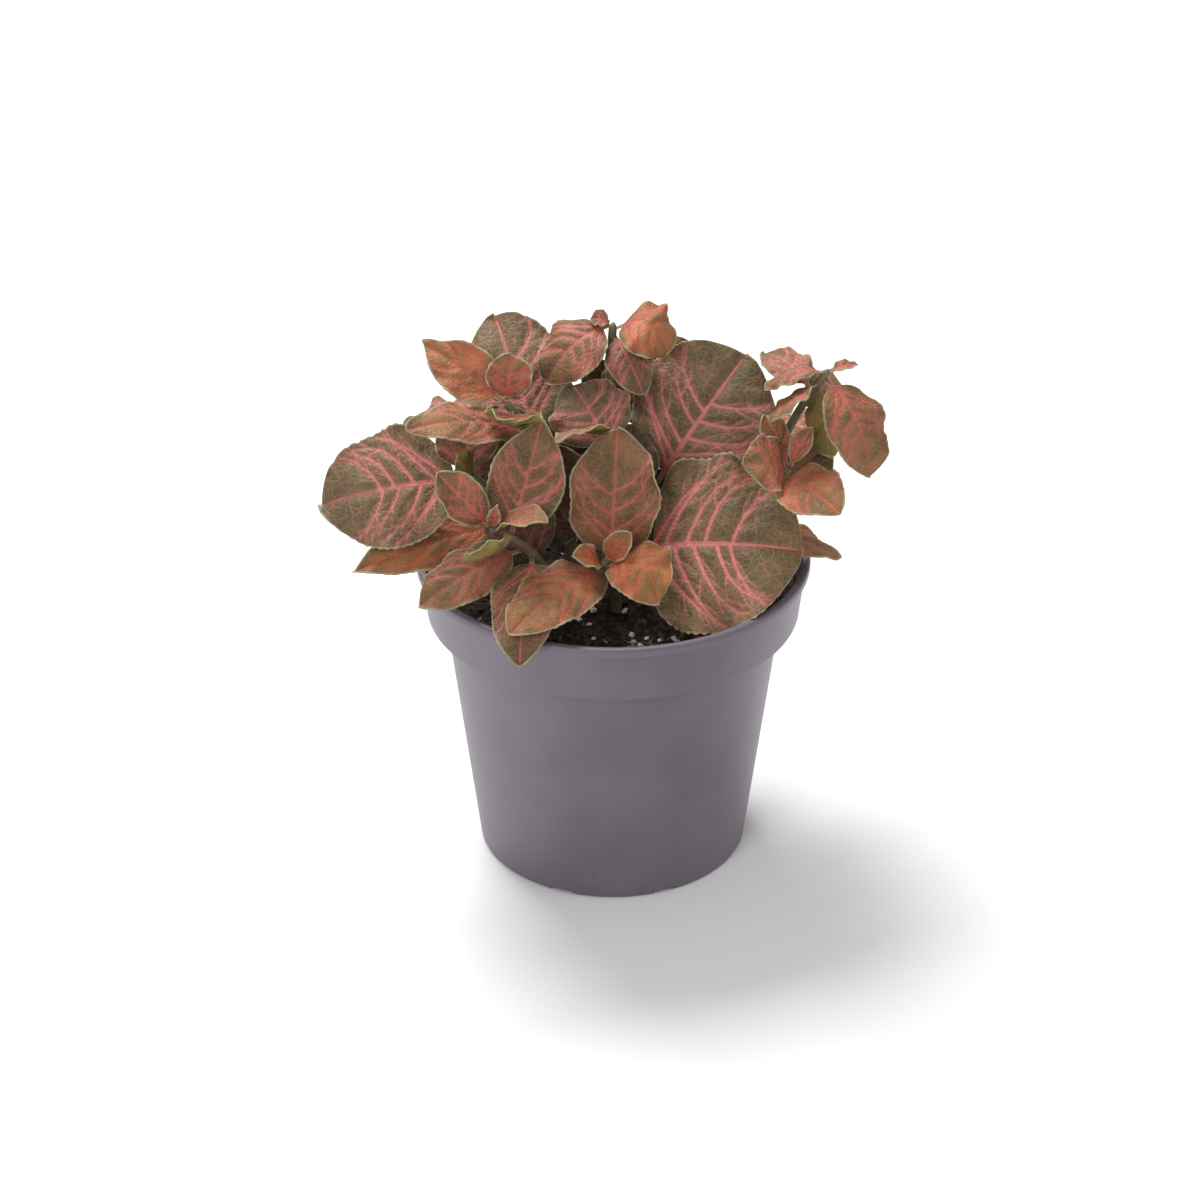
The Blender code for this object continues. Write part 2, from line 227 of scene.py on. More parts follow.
@dataclass(frozen=True)
class LeafUpperFinish:
    """Upper side of a leaf: lamina, branching veins, fine netting and a pale margin."""

    olive: Colour = (0.128, 0.105, 0.044)
    moss: Colour = (0.074, 0.074, 0.027)
    peach: Colour = (0.450, 0.185, 0.060)
    gold: Colour = (0.185, 0.125, 0.036)
    pink: Colour = (0.720, 0.215, 0.195)
    coral: Colour = (0.600, 0.075, 0.038)
    crimson: Colour = (0.520, 0.020, 0.032)
    blush: Colour = (0.320, 0.125, 0.085)
    rim: Colour = (0.360, 0.330, 0.190)

    def make(self) -> bpy.types.Material:
        """Build the material.

        Returns:
            The material, ready for a mesh.
        """
        graph = Graph("leaf_upper", 0.5, Specular_IOR_Level=0.35)
        sheet, place = graph.sheet_place(), graph.place()
        tone, depth = graph.attribute("tone"), graph.attribute("depth")
        main, fine = graph.attribute("vein_main"), graph.attribute("vein_fine")
        margin, heel = graph.attribute("margin"), graph.attribute("heel")

        patches = graph.grain(place, 9.0)
        speckle = graph.grain(sheet, 0.9, 4.0)
        green = graph.mix(graph.step(patches, 0.35, 0.65), self.olive, self.moss)
        warm = graph.mix(graph.step(patches, 0.4, 0.62), self.peach, self.gold)
        warmth = tone * (graph.step(graph.grain(place, 14.0), 0.3, 0.62) * 0.5 + 0.5)
        warmth = warmth * (graph.step(margin, 0.2, 3.5) * 0.35 + 0.65)
        lamina = graph.mix(warmth, green, warm)
        lamina = graph.mix(graph.step(speckle, 0.45, 0.75) * 0.3, lamina, self.blush)

        wander = (graph.grain(sheet, 1.6) - 0.5) * 0.5
        net = graph.step(graph.cells(sheet, 1.7), 0.11, 0.02)
        coarse_net = graph.step(graph.cells(sheet, 4.2), 0.05, 0.01)
        vein = graph.mix(tone, self.pink, self.coral)
        vein = graph.mix(graph.step(heel, 0.55, 1.0), vein, self.crimson)
        halo = graph.step(main + wander, 1.7, 0.0)
        shade = graph.step(graph.grain(sheet, 5.0), 0.35, 0.6) * 0.35 + 0.65
        colour = graph.mix(net * (0.14 + tone * 0.16), lamina, vein)
        colour = graph.mix(coarse_net * 0.18, colour, vein)
        colour = graph.mix(halo * (0.16 - tone * 0.06), colour, vein)
        colour = graph.mix(graph.step(fine + wander, 0.3, -0.05) * 0.45 * shade, colour, vein)
        strong = graph.step(main + wander * 0.6, 0.28, -0.16)
        colour = graph.mix(strong * (0.92 - tone * 0.42) * shade, colour, vein)
        colour = graph.mix(graph.step(margin, 0.75, 0.2) * 0.8, colour, self.rim)
        # Painted shade: a leaf deep in the plant, and its base, are darkened.
        colour = graph.multiply(colour, 1.0 - depth * 0.62)

        height = speckle * 0.35 + graph.step(graph.cells(sheet, 1.7), 0.0, 0.25) * 0.65
        return graph.finish(colour, 0.5 + patches * 0.2, graph.bump(height, 0.2, 0.8))


@dataclass(frozen=True)
class LeafUnderFinish:
    """Underside of a leaf: paler, with raised ribs that show dull."""

    ochre: Colour = (0.300, 0.230, 0.055)
    olive: Colour = (0.190, 0.175, 0.060)
    rib: Colour = (0.330, 0.190, 0.090)

    def make(self) -> bpy.types.Material:
        """Build the material.

        Returns:
            The material, ready for a mesh.
        """
        graph = Graph("leaf_under", 0.6, Specular_IOR_Level=0.3)
        place, sheet = graph.place(), graph.sheet_place()
        main, fine = graph.attribute("vein_main"), graph.attribute("vein_fine")
        depth = graph.attribute("depth")
        patches = graph.grain(place, 7.0)
        colour = graph.mix(graph.step(patches, 0.35, 0.65), self.ochre, self.olive)
        colour = graph.mix(graph.step(fine, 0.3, 0.0) * 0.4, colour, self.rib)
        colour = graph.mix(graph.step(main, 0.3, -0.1) * 0.8, colour, self.rib)
        # Painted shade: undersides deep in the plant are darkened.
        colour = graph.multiply(colour, 1.0 - depth * 0.55)
        height = graph.step(main, 0.5, -0.2) * 0.8 + graph.grain(sheet, 0.8) * 0.2
        return graph.finish(colour, 0.5 + patches * 0.2, graph.bump(height, 0.3, 0.7))


@dataclass(frozen=True)
class LeafRimFinish:
    """The thin pale edge between the two sides."""

    cream: Colour = (0.420, 0.370, 0.220)
    green: Colour = (0.260, 0.270, 0.130)

    def make(self) -> bpy.types.Material:
        """Build the material.

        Returns:
            The material, ready for a mesh.
        """
        graph = Graph("leaf_rim", 0.55)
        patches = graph.grain(graph.place(), 3.0)
        colour = graph.mix(graph.step(patches, 0.4, 0.6), self.cream, self.green)
        # Painted shade: rims deep in the plant are darkened.
        colour = graph.multiply(colour, 1.0 - graph.attribute("depth") * 0.4)
        return graph.finish(colour, 0.5 + patches * 0.15)


@dataclass(frozen=True)
class StemFinish:
    """Dull green stem, redder in streaks and covered in fine hair."""

    green: Colour = (0.150, 0.150, 0.075)
    brown: Colour = (0.170, 0.095, 0.060)
    down: Colour = (0.34, 0.31, 0.20)

    def make(self) -> bpy.types.Material:
        """Build the material.

        Returns:
            The material, ready for a mesh.
        """
        graph = Graph("stem_skin", 0.65)
        place = graph.place()
        streaks = graph.grain(place, 2.5)
        hair = graph.grain(place, 0.35, 5.0)
        colour = graph.mix(graph.step(streaks, 0.4, 0.65), self.green, self.brown)
        colour = graph.mix(graph.step(hair, 0.55, 0.75) * 0.35, colour, self.down)
        return graph.finish(colour, 0.55 + hair * 0.2, graph.bump(hair, 0.25, 0.8))


@dataclass(frozen=True)
class SoilFinish:
    """Dark peat with brown and nearly black crumbs."""

    name: str = "peat"
    dark: Colour = (0.012, 0.008, 0.007)
    brown: Colour = (0.050, 0.031, 0.022)
    dust: Colour = (0.11, 0.07, 0.05)

    def make(self) -> bpy.types.Material:
        """Build the material.

        Returns:
            The material, ready for a mesh.
        """
        graph = Graph(self.name, 0.95, Specular_IOR_Level=0.2)
        place = graph.place()
        crumbs = graph.grain(place, 2.2, 6.0)
        dust = graph.grain(place, 0.5, 6.0)
        colour = graph.mix(graph.step(crumbs, 0.42, 0.62), self.dark, self.brown)
        colour = graph.mix(graph.step(dust, 0.6, 0.75) * 0.4, colour, self.dust)
        return graph.finish(colour, 0.85 + dust * 0.15, graph.bump(crumbs * 0.6 + dust * 0.4, 0.9))


@dataclass(frozen=True)
class GrainFinish:
    """A loose bit on the soil: perlite, or a straw-coloured fibre."""

    name: str
    light: Colour
    dull: Colour
    pore_mm: float

    def make(self) -> bpy.types.Material:
        """Build the material.

        Returns:
            The material, ready for a mesh.
        """
        graph = Graph(self.name, 0.85)
        pores = graph.grain(graph.place(), self.pore_mm, 4.0)
        colour = graph.mix(graph.step(pores, 0.35, 0.65), self.dull, self.light)
        return graph.finish(colour, 0.75 + pores * 0.2, graph.bump(pores, 0.3, 0.8))


@dataclass(frozen=True)
class PotFinish:
    """Satin moulded plastic with a faint flow pattern, dust and scuffs, and painted shade on the inside
    wall.
    """

    body: Colour = (0.128, 0.104, 0.132)
    light: Colour = (0.152, 0.124, 0.156)
    # Painted shade of the inside wall.
    inside: Colour = (0.060, 0.052, 0.062)
    worn: Colour = (0.21, 0.18, 0.215)

    def make(self) -> bpy.types.Material:
        """Build the material.

        Returns:
            The material, ready for a mesh.
        """
        graph = Graph("pot_plastic", 0.42, Specular_IOR_Level=0.5)
        place = graph.place()
        flow = graph.grain(place, 26.0, 2.0)
        tooth = graph.grain(place, 0.45, 3.0)
        scuff = graph.step(graph.grain(place, 5.0, 6.0), 0.62, 0.72)
        colour = graph.mix(graph.step(flow, 0.3, 0.7), self.body, self.light)
        colour = graph.mix(scuff * 0.2, colour, self.worn)
        # Painted shade: the marked inside wall is darkened.
        colour = graph.mix(graph.attribute("inside"), colour, self.inside)
        roughness = 0.36 + flow * 0.1 + scuff * 0.12
        return graph.finish(colour, roughness, graph.bump(tooth, 0.05, 0.35))


# ---------------------------------------------------------------- shapes shared with the CAD


@dataclass(frozen=True)
class Stem:
    """A shoot: where it leaves the soil and where it ends, in millimetres."""

    name: str
    root: Triple
    apex: Triple
    rise: float = 0.6

    def point(self, share: float) -> Vector:
        """Place on the axis.

        Args:
            share: 0 at the soil and 1 at the apex.

        Returns:
            The place in millimetres.
        """
        root, apex = Vector(self.root), Vector(self.apex)
        knee = root + Vector((0, 0, self.rise * (apex.z - root.z)))
        return root * (1 - share) ** 2 + knee * 2 * share * (1 - share) + apex * share ** 2

    def radius(self, share: float) -> float:
        """Radius at a place on the axis."""
        return STEM_LOW_RADIUS + share * (STEM_TOP_RADIUS - STEM_LOW_RADIUS)


@dataclass(frozen=True)
class Leaf:
    """A leaf with its petiole, from a place on its stem to its tip, in millimetres."""

    name: str
    stem: str
    along: float
    tip: Triple
    face: Triple
    width: float
    bow: float = 4.0
    cup: float = -0.5
    fold: float = 0.1
    sway: float = 0.0
    petiole: float = 0.1
    heel: float = 0.5
    point: float = 0.6
    tone: float = 0.0       # 0 is full grown and olive, 1 is young and peach
    depth: float = 0.0      # how deep in the shade of the plant it stands

    def half_width(self, share: np.ndarray) -> np.ndarray:
        """Half the width: a petiole strip, then the blade.

        Args:
            share: shares of the length.

        Returns:
            Half widths in millimetres.
        """
        blade = np.clip((share - self.petiole) / (1 - self.petiole), 0.0, 1.0)
        widest = self.heel / (self.heel + self.point)
        full = widest ** self.heel * (1 - widest) ** self.point
        outline = 0.5 * self.width * blade ** self.heel * (1 - blade) ** self.point / full
        strip = PETIOLE_HALF_WIDTH * (1 - blade)
        taper = np.clip((blade - TAPER_START) / (1.0 - TAPER_START), 0.0, 1.0)
        outline = outline * (1.0 - TAPER_DEPTH * taper * taper)
        return np.maximum(np.maximum(outline, strip), TIP_HALF_WIDTH)


# Millimetres
STEM_LOW_RADIUS = 1.7
STEM_TOP_RADIUS = 1.1
LEAF_SEAT = 0.7             # from the stem's skin to the middle of the petiole's end
SEAT_OVERLAP = 0.8          # how far the petiole then reaches into the stem's swollen node
PETIOLE_HALF_WIDTH = 0.7
TIP_HALF_WIDTH = 0.12
TAPER_START = 0.70          # share of the blade past which it draws in to its tip
TAPER_DEPTH = 0.24
TYPICAL_WIDTH = 40.0        # width of the leaf whose veins and relief the sizes are given for

STEMS = (
    Stem("stem_centre_front", (1, -17, 88), (-3, -33, 113)),
    Stem("stem_left_front", (-17, -19, 88), (-36, -31, 123)),
    Stem("stem_left", (-25, -3, 88), (-44, -9, 131)),
    Stem("stem_upper_left", (-13, 5, 88), (-32, -2, 150)),
    Stem("stem_centre", (-2, -2, 88), (0, -5, 141)),
    Stem("stem_top", (-3, 14, 88), (0, 20, 166)),
    Stem("stem_right_low", (8, -13, 88), (5, -15, 111)),
    Stem("stem_right_middle", (12, 3, 88), (12, 4, 121)),
    Stem("stem_right", (27, -4, 88), (53, -4, 129)),
    Stem("stem_right_top", (43, 6, 88), (64, 6, 157)),
    Stem("stem_back", (8, 28, 88), (12, 36, 138)),
    Stem("stem_back_left", (-15, 24, 88), (-36, 38, 124)),
    Stem("stem_back_right", (27, 27, 88), (42, 36, 120)),
)

LEAVES = (
    # Centre front shoot
    Leaf("leaf_front_right", "stem_centre_front", 0.97, (13, -47, 107), (0.2, -0.65, 0.75), 21, 5, -0.4,
         sway=-4, tone=1),
    Leaf("leaf_front_bud_left", "stem_centre_front", 0.99, (-12, -40, 119), (0.1, -0.6, 0.8), 8, 1.5, 0.3,
         tone=0.9),
    Leaf("leaf_front_bud_right", "stem_centre_front", 1.0, (5, -33, 123), (-0.2, -0.8, 0.5), 8, 1, 0.4,
         tone=0.9),
    Leaf("leaf_front_upright", "stem_centre_front", 0.72, (1, -13, 147), (0, -0.95, 0.3), 28, 3, 0.6,
         tone=0.35, depth=0.3),
    Leaf("leaf_front_low", "stem_centre_front", 0.75, (-30, -62, 105), (-0.1, -0.5, 0.85), 21, 5, -0.4,
         tone=0.7, depth=0.05),
    # Left front shoot
    Leaf("leaf_left_pink", "stem_left_front", 1.0, (-51, -32, 142), (0.3, -0.85, 0.4), 13, -1, 0.4,
         tone=0.35, depth=0.1),
    Leaf("leaf_left_curl", "stem_left_front", 0.98, (-19, -40, 130), (0.1, -0.15, 0.95), 12, 2, 0.4,
         tone=0.45),
    Leaf("leaf_left_under", "stem_left_front", 0.85, (-42, -44, 122), (-0.2, 0.7, 0.6), 16, -2, 0.3,
         tone=0.8),
    Leaf("leaf_left_upright", "stem_left_front", 0.84, (-21, -14, 150), (0.05, -0.95, 0.35), 23, 2, 0.3,
         point=0.8, tone=0.25, depth=0.2),
    Leaf("leaf_left_low", "stem_left_front", 0.7, (-57, -38, 101), (-0.2, -0.55, 0.8), 18, 3, -0.3,
         tone=0.5, depth=0.35),
    Leaf("leaf_rim_droop", "stem_left_front", 0.6, (-27, -66, 97), (-0.1, -0.75, 0.65), 20, 5, -0.3,
         tone=0.15, depth=0.15),
    # Left shoot
    Leaf("leaf_left_orange", "stem_left", 0.5, (-77, -26, 106), (-0.05, -0.6, 0.8), 18, 3.5, -0.3,
         point=0.8, tone=0.85),
    Leaf("leaf_left_large", "stem_left", 0.93, (-87, -8, 119), (-0.1, -0.7, 0.7), 38, 5, -0.3),
    Leaf("leaf_left_dark", "stem_left", 0.96, (-44, 0, 144), (-0.1, -0.9, 0.4), 19, 2, 0.2,
         tone=0.15, depth=0.4),
    Leaf("leaf_left_hood", "stem_left", 0.97, (-46, -21, 141), (0, 0.8, -0.6), 10, -1, 0.3,
         tone=0.3),
    # Upper left shoot
    Leaf("leaf_upper_orange", "stem_upper_left", 1.0, (-57, 15, 162), (0.2, -0.85, 0.5), 17, 2, 0.2,
         point=0.95, tone=0.85),
    Leaf("leaf_upper_pink", "stem_upper_left", 0.8, (-60, -23, 151), (-0.15, -0.4, 0.9), 18, 4, -0.4,
         tone=0.4),
    Leaf("leaf_upper_round", "stem_upper_left", 1.0, (-30, 4, 163), (0, -0.9, 0.4), 14, 1.5, 0.4,
         tone=0.6),
    Leaf("leaf_upper_cup", "stem_upper_left", 0.96, (-28, -20, 153), (0.1, 0.3, 0.95), 18, -3, 0.7,
         tone=0.5, depth=0.2),
    Leaf("leaf_upper_back", "stem_upper_left", 0.7, (-36, 38, 160), (-0.05, -0.8, 0.6), 33, 3, -0.2,
         tone=0.05),
    # Centre shoot
    Leaf("leaf_centre_grey", "stem_centre", 0.85, (-12, 12, 149), (0.05, -0.75, 0.65), 26, 4, -0.4,
         tone=0, depth=0.1),
    Leaf("leaf_centre_flap", "stem_centre", 1.0, (-16, -27, 149), (0.1, 0.75, 0.65), 12, 3, -0.2,
         tone=0.2, depth=0.05),
    Leaf("leaf_centre_inner", "stem_centre", 0.3, (-16, -12, 141), (0, -0.95, 0.2), 16, 2, 0.2,
         tone=0.1, depth=0.8),
    # Top shoot
    Leaf("leaf_top_left", "stem_top", 0.99, (-20, 12, 150), (-0.35, -0.55, 0.75), 22, 5, -0.5,
         tone=0.3, depth=0.1),
    Leaf("leaf_top_gold", "stem_top", 0.98, (16, 14, 158), (0, -0.35, 0.9), 23, 8, -0.5,
         tone=0.75),
    Leaf("leaf_top_hang", "stem_top", 0.94, (9, 3, 150), (0.1, -0.85, 0.5), 14, 4, -0.4,
         tone=0.3, depth=0.45),
    Leaf("leaf_top_dark", "stem_top", 0.6, (-4, 26, 151), (0, -0.9, 0.4), 13, -1, 0.2,
         tone=0.2, depth=0.6),
    # Right shoots
    Leaf("leaf_right_largest", "stem_right_low", 0.8, (56, -22, 111), (0, -0.67, 0.74), 57, 6, -0.25,
         heel=0.32, point=0.55, tone=0.05),
    Leaf("leaf_right_upper", "stem_right_middle", 0.95, (40, 23, 154), (-0.1, -0.87, 0.5), 45, 4, -0.2,
         point=0.5),
    Leaf("leaf_right_pink", "stem_right", 0.98, (38, -13, 135), (-0.1, -0.7, 0.7), 18, 3, -0.1,
         tone=0.45),
    Leaf("leaf_right_front", "stem_right", 0.94, (66, -29, 127), (0.1, -0.7, 0.7), 19, 3, -0.2,
         tone=0.75),
    Leaf("leaf_right_small_left", "stem_right", 0.99, (45, 4, 143), (0.45, -0.8, 0.35), 9, 1, 0.3,
         heel=0.9, tone=0.55, depth=0.1),
    Leaf("leaf_right_small", "stem_right", 1.0, (59, -4, 143), (-0.5, -0.75, 0.4), 7, 1, 0.3,
         heel=0.9, point=0.8, tone=0.5, depth=0.05),
    Leaf("leaf_right_thin", "stem_right", 0.45, (68, -9, 101), (0.3, -0.1, 0.95), 16, 4, -0.3,
         tone=0.4),
    # Right top shoot
    Leaf("leaf_corner_down", "stem_right_top", 0.96, (76, -9, 129), (0.6, -0.7, 0.4), 23, 5, -0.4,
         tone=0.45, depth=0.1),
    Leaf("leaf_corner_fold", "stem_right_top", 0.98, (45, 4, 151), (-0.1, 0.1, 0.95), 13, 3, -0.6,
         tone=0.4, depth=0.1),
    Leaf("leaf_corner_edge", "stem_right_top", 0.92, (47, -8, 146), (-0.6, 0.1, 0.75), 15, 2, -0.4,
         tone=0.4, depth=0.1),
    Leaf("leaf_corner_back", "stem_right_top", 0.88, (46, 26, 153), (-0.2, 0.05, 0.95), 14, 3, -0.3,
         tone=0.3, depth=0.1),
    Leaf("leaf_corner_under", "stem_right_top", 0.9, (64, -6, 134), (0.3, 0.8, -0.3), 13, 2, 0.3,
         tone=0.4, depth=0.2),
    # Back shoots, behind the others
    Leaf("leaf_back_gold", "stem_back", 1.0, (24, 38, 151), (0.1, -0.8, 0.55), 26, 3, -0.3,
         tone=0.6),
    Leaf("leaf_back_middle", "stem_back", 0.85, (18, 66, 122), (0, 0.6, 0.8), 34, 6, -0.4,
         tone=0.1),
    Leaf("leaf_behind_left", "stem_back_left", 0.97, (-64, 36, 122), (-0.3, 0.1, 0.95), 34, 6, -0.4,
         tone=0.1),
    Leaf("leaf_behind_left_back", "stem_back_left", 0.9, (-34, 70, 114), (-0.2, 0.6, 0.8), 34, 6, -0.4,
         tone=0.2),
    Leaf("leaf_behind_right", "stem_back_right", 0.97, (74, 38, 116), (0.3, 0.1, 0.95), 34, 6, -0.4,
         tone=0.1),
    Leaf("leaf_behind_right_back", "stem_back_right", 0.85, (46, 70, 106), (0.2, 0.6, 0.8), 32, 6, -0.4,
         tone=0.15),
)

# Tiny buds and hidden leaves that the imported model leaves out
HIDDEN_LEAVES = (
    Leaf("bud_left", "stem_left_front", 1.0, (-34, -33, 132), (0, -0.9, 0.3), 4, 0.5, 0.3,
         point=0.9, tone=0.5),
    Leaf("bud_top", "stem_top", 1.0, (-7, 20, 167), (0.2, -0.5, 0.85), 6, 1, 0.4,
         tone=0.3, depth=0.3),
    Leaf("bud_corner", "stem_right_top", 1.0, (73, 12, 156), (0.1, -0.3, 0.9), 4, 1, 0.3,
         point=0.9, tone=0.4),
    # The inner leaves below fill gaps in the foliage, and their depth darkens them with painted shade.
    Leaf("inner_left", "stem_left_front", 0.45, (-34, -8, 128), (-0.2, -0.9, 0.4), 22, 2, -0.2,
         tone=0.1, depth=0.85),
    Leaf("inner_middle", "stem_centre", 0.5, (6, 6, 139), (0, -0.9, 0.4), 22, 2, -0.2,
         tone=0.1, depth=0.8),
    Leaf("inner_back_right", "stem_back", 0.6, (34, 54, 122), (0.3, 0.5, 0.8), 28, 4, -0.4, tone=0.1),
    Leaf("inner_back_left", "stem_back", 0.5, (-12, 58, 108), (-0.1, 0.6, 0.8), 28, 5, -0.4, tone=0.15),
    Leaf("inner_gap_left", "stem_upper_left", 0.55, (-46, 10, 136), (-0.3, -0.8, 0.5), 26, 2, -0.2,
         tone=0.1, depth=0.7),
    Leaf("inner_gap_middle", "stem_upper_left", 0.5, (-8, 12, 138), (0.1, -0.9, 0.4), 26, 2, -0.2,
         tone=0.1, depth=0.75),
    Leaf("inner_gap_low", "stem_left", 0.35, (-14, 4, 122), (0.1, -0.9, 0.4), 26, 2, -0.2,
         tone=0.1, depth=0.85),
    Leaf("inner_gap_front", "stem_left", 0.3, (-50, 4, 116), (-0.3, -0.8, 0.4), 24, 2, -0.2,
         tone=0.2, depth=0.8),
    Leaf("inner_gap_top", "stem_top", 0.55, (14, 28, 150), (0.2, -0.7, 0.6), 22, 2, -0.2,
         tone=0.2, depth=0.5),
    Leaf("inner_gap_right", "stem_right", 0.6, (66, 8, 132), (0.4, -0.6, 0.6), 22, 2, -0.2,
         tone=0.4, depth=0.4),
    Leaf("inner_right_high", "stem_right_top", 0.8, (72, 24, 140), (0.3, -0.4, 0.8), 20, 3, -0.3,
         tone=0.4, depth=0.2),
)


# ---------------------------------------------------------------- leaves


@dataclass
class LeafSurface:
    """The middle surface of a leaf, as a function of share of length and place across."""

    leaf: Leaf
    stem: Stem

    def __post_init__(self) -> None:
        """Work out the leaf's own axes from its stem and tip."""
        leaf, stem = self.leaf, self.stem
        centre = stem.point(leaf.along)
        later = stem.point(min(leaf.along + 0.02, 1.0))
        ahead = (later - stem.point(leaf.along - 0.02)).normalized()
        tip = Vector(leaf.tip)
        outward = tip - centre
        outward -= outward.dot(ahead) * ahead
        base = centre + outward.normalized() * (stem.radius(leaf.along) + LEAF_SEAT - SEAT_OVERLAP)
        chord = (tip - base).normalized()
        face = Vector(leaf.face)
        face = (face - face.dot(chord) * chord).normalized()
        side = chord.cross(face)
        crown = (base + tip) / 2 + face * 2 * leaf.bow + side * 2 * leaf.sway
        self.base, self.tip, self.crown = np.array(base), np.array(tip), np.array(crown)
        self.side = np.array(side)
        steps = self.middle(np.linspace(0, 1, 60))
        self.length = float(np.linalg.norm(np.diff(steps, axis=0), axis=1).sum())

    def middle(self, share: np.ndarray) -> np.ndarray:
        """Points of the midrib."""
        t = share[:, None]
        return self.base * (1 - t) ** 2 + self.crown * 2 * t * (1 - t) + self.tip * t ** 2

    def place(self, share: np.ndarray, reach: np.ndarray, lift: np.ndarray) -> np.ndarray:
        """Points of the blade.

        Args:
            share: shares of the length.
            reach: distances from the midrib in millimetres, signed.
            lift: heights above the middle surface.

        Returns:
            An array of points in millimetres.
        """
        t = share[:, None]
        ahead = (self.crown - self.base) * (1 - t) + (self.tip - self.crown) * t
        ahead /= np.linalg.norm(ahead, axis=1)[:, None]
        up = np.cross(self.side, ahead)
        bend = 2 * self.leaf.cup / self.leaf.width
        angle = bend * reach
        sideways = np.sin(angle) / bend - lift * np.sin(angle)
        height = (1 - np.cos(angle)) / bend + self.leaf.fold * np.abs(reach) + lift * np.cos(angle)
        return self.middle(share) + self.side * sideways[:, None] + up * height[:, None]


@dataclass
class Veins:
    """The branching veins of a leaf, as tapered lines in the plane of the flat blade."""

    leaf: Leaf
    length: float
    rng: random.Random
    main: list = field(default_factory=list)
    fine: list = field(default_factory=list)
    midrib: tuple[float, float] = (0.85, 0.12)      # half widths at the foot and at the end
    side_width: tuple[float, float] = (0.54, 0.10)
    branch_width: tuple[float, float] = (0.3, 0.05)
    steps: int = 12
    forks: tuple = ((2, -1), (4, 1), (5, -1), (7, 1), (8, -1), (10, 1))     # step, turn

    def __post_init__(self) -> None:
        """Grow the midrib, the side veins and their branches."""
        scale = (self.leaf.width / TYPICAL_WIDTH) ** 0.6
        start = self.leaf.petiole * self.length
        blade = self.length - start
        thick, thin = self.midrib
        self.add(self.main, [(0.0, 0.0), (start + 0.96 * blade, 0.0)], thick * scale, thin)
        pairs = 5 if self.leaf.width > 30 else 4 if self.leaf.width > 12 else 3
        for number in range(pairs):
            for side in (-1, 1):
                self.side_vein(start, blade, (number + 0.25 * (side > 0)) / pairs, side, scale)

    def add(self, lines: list, points: list, thick: float, thin: float) -> None:
        """Add a line of points with half widths that taper."""
        lines.append((np.array(points, dtype=float), thick, thin))

    def edge(self, along: float) -> float:
        """Half width of the blade at a distance along it."""
        return float(self.leaf.half_width(np.array([min(along / self.length, 0.98)]))[0])

    def side_vein(self, start: float, blade: float, level: float, side: int, scale: float) -> None:
        """A side vein that sweeps forward to the margin, with branches on both of its sides.

        Args:
            start: length of the petiole.
            blade: length of the blade.
            level: how far up the blade the vein leaves the midrib, from 0 to 1.
            side: 1 or -1.
            scale: size of the veins against those of a typical leaf.
        """
        foot = start + blade * (0.01 + 0.66 * level ** 1.15 + self.rng.uniform(-0.03, 0.03))
        sweep = blade * (0.46 - 0.20 * level) * self.rng.uniform(0.85, 1.15)
        bow = self.rng.uniform(0.8, 1.0)
        points = []
        for step in range(self.steps + 1):
            t = step / self.steps
            along = min(foot + sweep * (0.55 * t + 0.45 * t ** 2.2), start + 0.97 * blade)
            reach = self.edge(along) * 0.92 * t ** bow
            wander = 0.9 * scale * math.sin(5.6 * t + 9.0 * level + side)
            points.append((along, side * reach + wander * t))
        thick, thin = self.side_width
        self.add(self.main, points, thick * scale * (1 - 0.35 * level), thin)
        for step, turn in self.forks:
            self.branch(points, step, turn * side, scale)

    def branch(self, points: list, step: int, turn: int, scale: float) -> None:
        """A branch from a side vein towards the next one.

        Args:
            points: the side vein.
            step: number of its point where the branch starts.
            turn: which way it turns, 1 or -1.
            scale: size of the veins against those of a typical leaf.
        """
        (x0, y0), (x1, y1) = points[step], points[step + 1]
        heading = math.atan2(y1 - y0, x1 - x0) + turn * self.rng.uniform(0.5, 0.9)
        length = self.leaf.width * self.rng.uniform(0.10, 0.20)
        line = [(x0, y0)]
        for _ in range(4):
            heading -= turn * 0.12
            line.append((line[-1][0] + math.cos(heading) * length / 4,
                         line[-1][1] + math.sin(heading) * length / 4))
        thick, thin = self.branch_width
        self.add(self.fine, line, thick * scale, thin)

    @staticmethod
    def distance(lines: list, spots: np.ndarray) -> np.ndarray:
        """Distance from each spot to the edge of the nearest line.

        Args:
            lines: tapered lines.
            spots: places on the flat blade.

        Returns:
            Distances in millimetres, below 0 inside a line.
        """
        best = np.full(len(spots), 99.0)
        for points, thick, thin in lines:
            count = len(points) - 1
            for number in range(count):
                a, b = points[number], points[number + 1]
                along = b - a
                share = np.clip(((spots - a) @ along) / max(along @ along, 1e-9), 0, 1)
                gap = np.linalg.norm(spots - a - share[:, None] * along, axis=1)
                half = thick + (thin - thick) * (number + share) / count
                best = np.minimum(best, gap - half)
        return best


